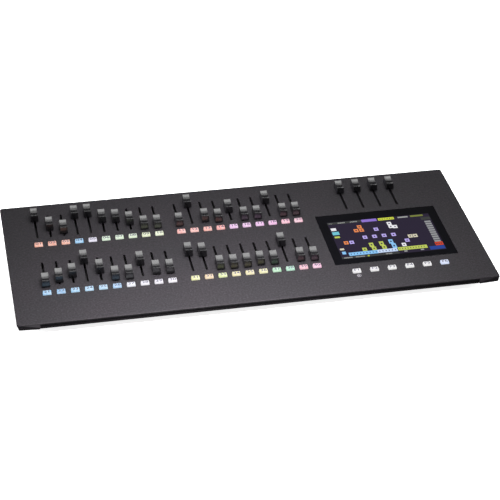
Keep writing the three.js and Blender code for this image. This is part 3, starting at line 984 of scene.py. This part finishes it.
def screw_head(bm, x, y, z, radius, material):
    """Low domed head with a hexagonal recess, its seat at z."""
    dome = [(1, -0.3), (1, 0.35), (0.95, 0.75), (0.82, 1.1), (0.62, 1.25)]
    recess = [(0.46, 1.25), (0.44, 0.2)]
    loops = [circle(share * radius, z + lift * MM, SCREW_SIDES) for share, lift in dome]
    loops += [hexagon(share * radius, z + lift * MM) for share, lift in recess]
    skin(bm, [moved(loop, x, y) for loop in loops], material)


XLR_FACE = 2.4 * MM  # of the flange, from the rear wall
XLR_POLES = 5
POLE_PROFILE = [(1.25, 1.0), (1.25, 0.35), (1.1, 0.25), (0.75, 0.25), (0.7, 0.45), (0.6, 0.9)]


def xlr_socket(bm):
    """Five-pole panel socket: flange, ring, insert with its contacts, and a release tab."""
    face = XLR_FACE
    body = [
        circle(12 * MM, -10 * MM),
        circle(12 * MM, 0.2 * MM),
        rounded(26 * MM, 31 * MM, 2.5 * MM, 0.3 * MM),
        rounded(26 * MM, 31 * MM, 2.5 * MM, face - 0.5 * MM),
        rounded(25.2 * MM, 30.2 * MM, 2.2 * MM, face),
        circle(11.9 * MM, face),
        circle(11.5 * MM, face + 0.9 * MM),
        circle(10.3 * MM, face + 0.9 * MM),
        circle(9.8 * MM, face + 0.4 * MM),
        circle(9.8 * MM, face - 8.9 * MM),
        circle(7.4 * MM, face - 8.9 * MM),
        circle(7.3 * MM, face - 0.9 * MM),
        circle(6.9 * MM, face - 0.5 * MM),
    ]
    skin(bm, body, PLASTIC_PART)
    pole = [circle(radius * MM, face - depth * MM) for radius, depth in POLE_PROFILE]
    for k in range(XLR_POLES):
        turn = math.radians(-30 + 60 * k)
        x, y = 4.6 * MM * math.cos(turn), 4.6 * MM * math.sin(turn)
        skin(bm, [moved(loop, x, y) for loop in pole], CONTACT)
    tab = (-3.4 * MM, 3.4 * MM), (12.4 * MM, 14.6 * MM), (face - 0.2 * MM, face + 1.5 * MM)
    block(bm, *tab, 0.5 * MM, METAL_PART)
    for side in (-1, 1):
        screw_head(bm, side * 9.6 * MM, -side * 12.2 * MM, face, 2.4 * MM, METAL_PART)


def switch_housing(bm):
    bay = (20.6 * MM, 12.4 * MM)
    shell(bm, 24 * MM, 15.4 * MM, bay, 20 * MM, 1.2 * MM, PLASTIC_PART, 10 * MM, 0.5 * MM)


# Each socket's name, its maker, its places along x, and its height.
SOCKETS = [
    ("video_socket", video_socket, [-30 * MM], 6.5 * MM),
    ("usb_socket", usb_socket, [4 * MM, 26 * MM], 7.4 * MM),
    ("network_socket", network_socket, [58 * MM], 13.4 * MM),
    ("power_inlet", power_inlet, [244 * MM], 11 * MM),
    ("power_switch_housing", switch_housing, [272 * MM], 15.4 * MM),
]
for name, build, places, height in SOCKETS:
    for k, x in enumerate(places):
        label = f"{name}_{k + 1}" if len(places) > 1 else name
        socket(label, x, BOARD_TOP + height / 2, build)
XLR_PLACES = (113 * MM, 142 * MM)
XLR_HEIGHT = 27.5 * MM
for k, x in enumerate(XLR_PLACES):
    socket(f"lighting_output_{k + 1}", x, XLR_HEIGHT, xlr_socket)

CHIPS = 14
CHIP_PITCH = 24 * MM


def main_board():
    """Board with its chips and posts, inside the tray behind the sockets."""
    bm = bmesh.new()
    y0, y1 = REAR_WALL_Y - 59.5 * MM, REAR_WALL_Y - 2.5 * MM
    block(bm, (-60 * MM, 290 * MM), (y0, y1), (BOARD_LOW, BOARD_TOP), 0.2 * MM, 0)
    chip_height = (BOARD_TOP - 0.1 * MM, BOARD_TOP + 1.2 * MM)
    for k in range(CHIPS):
        x = k * CHIP_PITCH - 48 * MM
        y = y0 + (12 + 9 * (k * 5 % 3)) * MM
        size = (5 + 2 * (k * 3 % 4)) * MM
        block(bm, (x, x + size), (y, y + size), chip_height, 0.1 * MM, 1)
    for x in (-54 * MM, 115 * MM, 284 * MM):
        for y in (y0 + 6 * MM, y1 - 24 * MM):
            ends = [circle(2.5 * MM, z, 24) for z in (6.6 * MM, BOARD_LOW + 0.1 * MM)]
            skin(bm, [moved(end, x, y) for end in ends], 2)
    mesh = finish_mesh(bm, "main_board", [BOARD, BLACK, NICKEL], 30)
    place = Matrix.Identity(4)
    piece("main_circuit_board", mesh, "desk", place, ["main_board"])


main_board()

rocker_joint = next(j for j in frame["joints"] if j["name"] == "power_rocker_tilt")
ROCKER_PIVOT = Vector(rocker_joint["pos_m"])
ROCKER_TILT = math.radians(-9)  # as it stands: off
ROCKER_FACE = math.radians(10.08)  # how far each half of its face leans
ROCKER_WAIST = 3.1 * MM  # from its pivot to the middle of its face
MARK_OUT = 5 * MM  # from the middle of its face to a mark
MARK_TOP = 0.06 * MM


def rocker_marks():
    """A bar on one half of the rocker's face and a ring on the other."""
    face = Matrix(((1, 0, 0, 0), (0, 0, 1, 0), (0, -1, 0, 0), (0, 0, 0, 1)))
    turn = Matrix.Translation(ROCKER_PIVOT) @ Matrix.Rotation(ROCKER_TILT, 4, "Z")
    out = ROCKER_WAIST + MARK_OUT * math.tan(ROCKER_FACE)
    for name, side in (("rocker_ring", -1), ("rocker_bar", 1)):
        bm = bmesh.new()
        if side > 0:
            bar = (-0.35 * MM, 0.35 * MM), (-2 * MM, 2 * MM), (-0.05 * MM, MARK_TOP)
            block(bm, *bar, 0.03 * MM)
        else:
            torus(bm, 1.8 * MM, MARK_TOP)
        lean = Matrix.Rotation(side * ROCKER_FACE, 4, "Z")
        spot = Matrix.Translation((side * MARK_OUT, out, 0))
        mesh = finish_mesh(bm, name, [TONGUE])
        piece(name, mesh, "power_rocker_body", turn @ spot @ lean @ face)


rocker_marks()


# ---- screws ----

ZINC = metal("black_zinc", "4a4a4e", 0.35)
SCREW_RADIUS = 2.6 * MM
TRAY_BOTTOM = 5 * MM


def screws(name, places, matrix):
    """Screw heads at places, in millimetres across the face that matrix stands for."""
    bm = bmesh.new()
    for x, y in places:
        screw_head(bm, x * MM, y * MM, 0, SCREW_RADIUS, 0)
    piece(name, finish_mesh(bm, name, [ZINC], 30), "desk", matrix)


rear_face = Matrix(((-1, 0, 0, 0), (0, 0, 1, REAR_WALL_Y), (0, 1, 0, 0), (0, 0, 0, 1)))
under_face = Matrix(((1, 0, 0, 0), (0, -1, 0, 0), (0, 0, -1, TRAY_BOTTOM), (0, 0, 0, 1)))
screws("rear_screws", [(x, 41.5) for x in (-205, -75, 0, 75, 180, 285)], rear_face)
tray_places = [(x, y) for y in (-75, 20, 85) for x in (-280, -140, 0, 140, 280)]
screws("tray_screws", tray_places, under_face)
screws("cheek_screws", [(x, y) for x in (-309, 309) for y in (-105, 110)], under_face)


# ---- stage, lights and camera ----

FLOOR_HALF = 12.0
FLOOR_DROP = 0.2 * MM  # below the feet, so that they don't share a face with it
CAMERA_LENS = 117.15  # millimetres, on a sensor 36 wide
CAMERA_PLACE = Vector((-0.4107, -1.8625, 1.0847))  # from the middle of the fascia's front edge
CAMERA_FORWARD = Vector((0.1810, 0.8655, -0.4671))
PAPER_GLOW = 0.85  # what the white backdrop gives off to the camera by itself
DARK_ROOM = 0.05  # how bright the backdrop and the room are to the desk


def backdrop(tree, white, dark, output):
    """White to the camera and dark to the desk, as if black flags stood just out of the picture."""
    path = tree.nodes.new("ShaderNodeLightPath")
    mix = tree.nodes.new("ShaderNodeMixShader")
    tree.links.new(path.outputs["Is Camera Ray"], mix.inputs[0])
    tree.links.new(dark, mix.inputs[1])
    tree.links.new(white, mix.inputs[2])
    tree.links.new(mix.outputs[0], output.inputs["Surface"])


def floor():
    bm = bmesh.new()
    bmesh.ops.create_grid(bm, x_segments=4, y_segments=4, size=FLOOR_HALF)
    m = Nodes("floor")
    paper = m.shades(m.noise(0.5), (0.84, 0.84, 0.84), (0.88, 0.88, 0.88))
    m.finish(
        base_color=paper,
        roughness=0.9,
        specular_ior_level=0.1,
        emission_color=(1, 1, 1, 1),
        emission_strength=PAPER_GLOW,
    )
    dark = m.add("ShaderNodeBsdfDiffuse", {"Color": (0.12, 0.12, 0.12, 1)})
    backdrop(m.tree, m.shader.outputs[0], dark.outputs[0], m.tree.nodes["Material Output"])
    obj = bpy.data.objects.new("floor", finish_mesh(bm, "floor", [m.material]))
    SCENE.collection.objects.link(obj)
    obj.location.z = -FLOOR_DROP


def softbox(name, place, target, size, watts, colour=(1, 1, 1), spread=180, glints=True):
    """Soft light of size across and along; without glints it doesn't show in glossy faces."""
    data = bpy.data.lights.new(name, "AREA")
    data.shape = "RECTANGLE"
    data.size, data.size_y = size
    data.energy = watts
    data.color = colour
    data.spread = math.radians(spread)
    obj = bpy.data.objects.new(name, data)
    SCENE.collection.objects.link(obj)
    obj.location = place
    obj.rotation_euler = (Vector(target) - Vector(place)).to_track_quat("-Z", "Y").to_euler()
    obj.visible_camera = False
    obj.visible_glossy = glints


def world():
    studio = bpy.data.worlds.new("studio")
    SCENE.world = studio
    studio.use_nodes = True
    tree = studio.node_tree
    white = tree.nodes["Background"]
    dark = tree.nodes.new("ShaderNodeBackground")
    for node in (white, dark):
        node.inputs["Color"].default_value = (1, 1, 1, 1)
    dark.inputs["Strength"].default_value = DARK_ROOM
    backdrop(tree, white.outputs[0], dark.outputs[0], tree.nodes["World Output"])


def camera():
    """In front of the desk, to its left and above it."""
    data = bpy.data.cameras.new("camera")
    data.sensor_width = 36
    data.lens = CAMERA_LENS
    data.clip_end = 100
    obj = bpy.data.objects.new("camera", data)
    SCENE.collection.objects.link(obj)
    obj.location = FRONT_EDGE + CAMERA_PLACE
    obj.rotation_euler = CAMERA_FORWARD.to_track_quat("-Z", "Y").to_euler()
    SCENE.camera = obj


floor()
softbox("top_softbox", (0.1, 0.06, 0.85), (0.1, 0.06, 0), (1.1, 0.46), 7)
softbox("rear_softbox", (0.12, 0.46, 0.85), (0.1, 0.2, 0), (1.1, 0.3), 1.6)
softbox(
    "front_softbox", (-0.06, -0.26, 0.55), (-0.06, -0.2, 0), (0.45, 0.12), 2.6, (1.0, 0.96, 1.0), 80
)
softbox("rear_sheen", (0, 2.4, 0.55), (0, 0.1, 0.05), (4.0, 0.8), 9)
for side in (-1, 1):
    place = (side * 1.5, 1.5, 0.24)
    softbox(f"rear_fill_{side}", place, (0, 0.1, 0.05), (1.0, 0.2), 170, glints=False)
world()
camera()
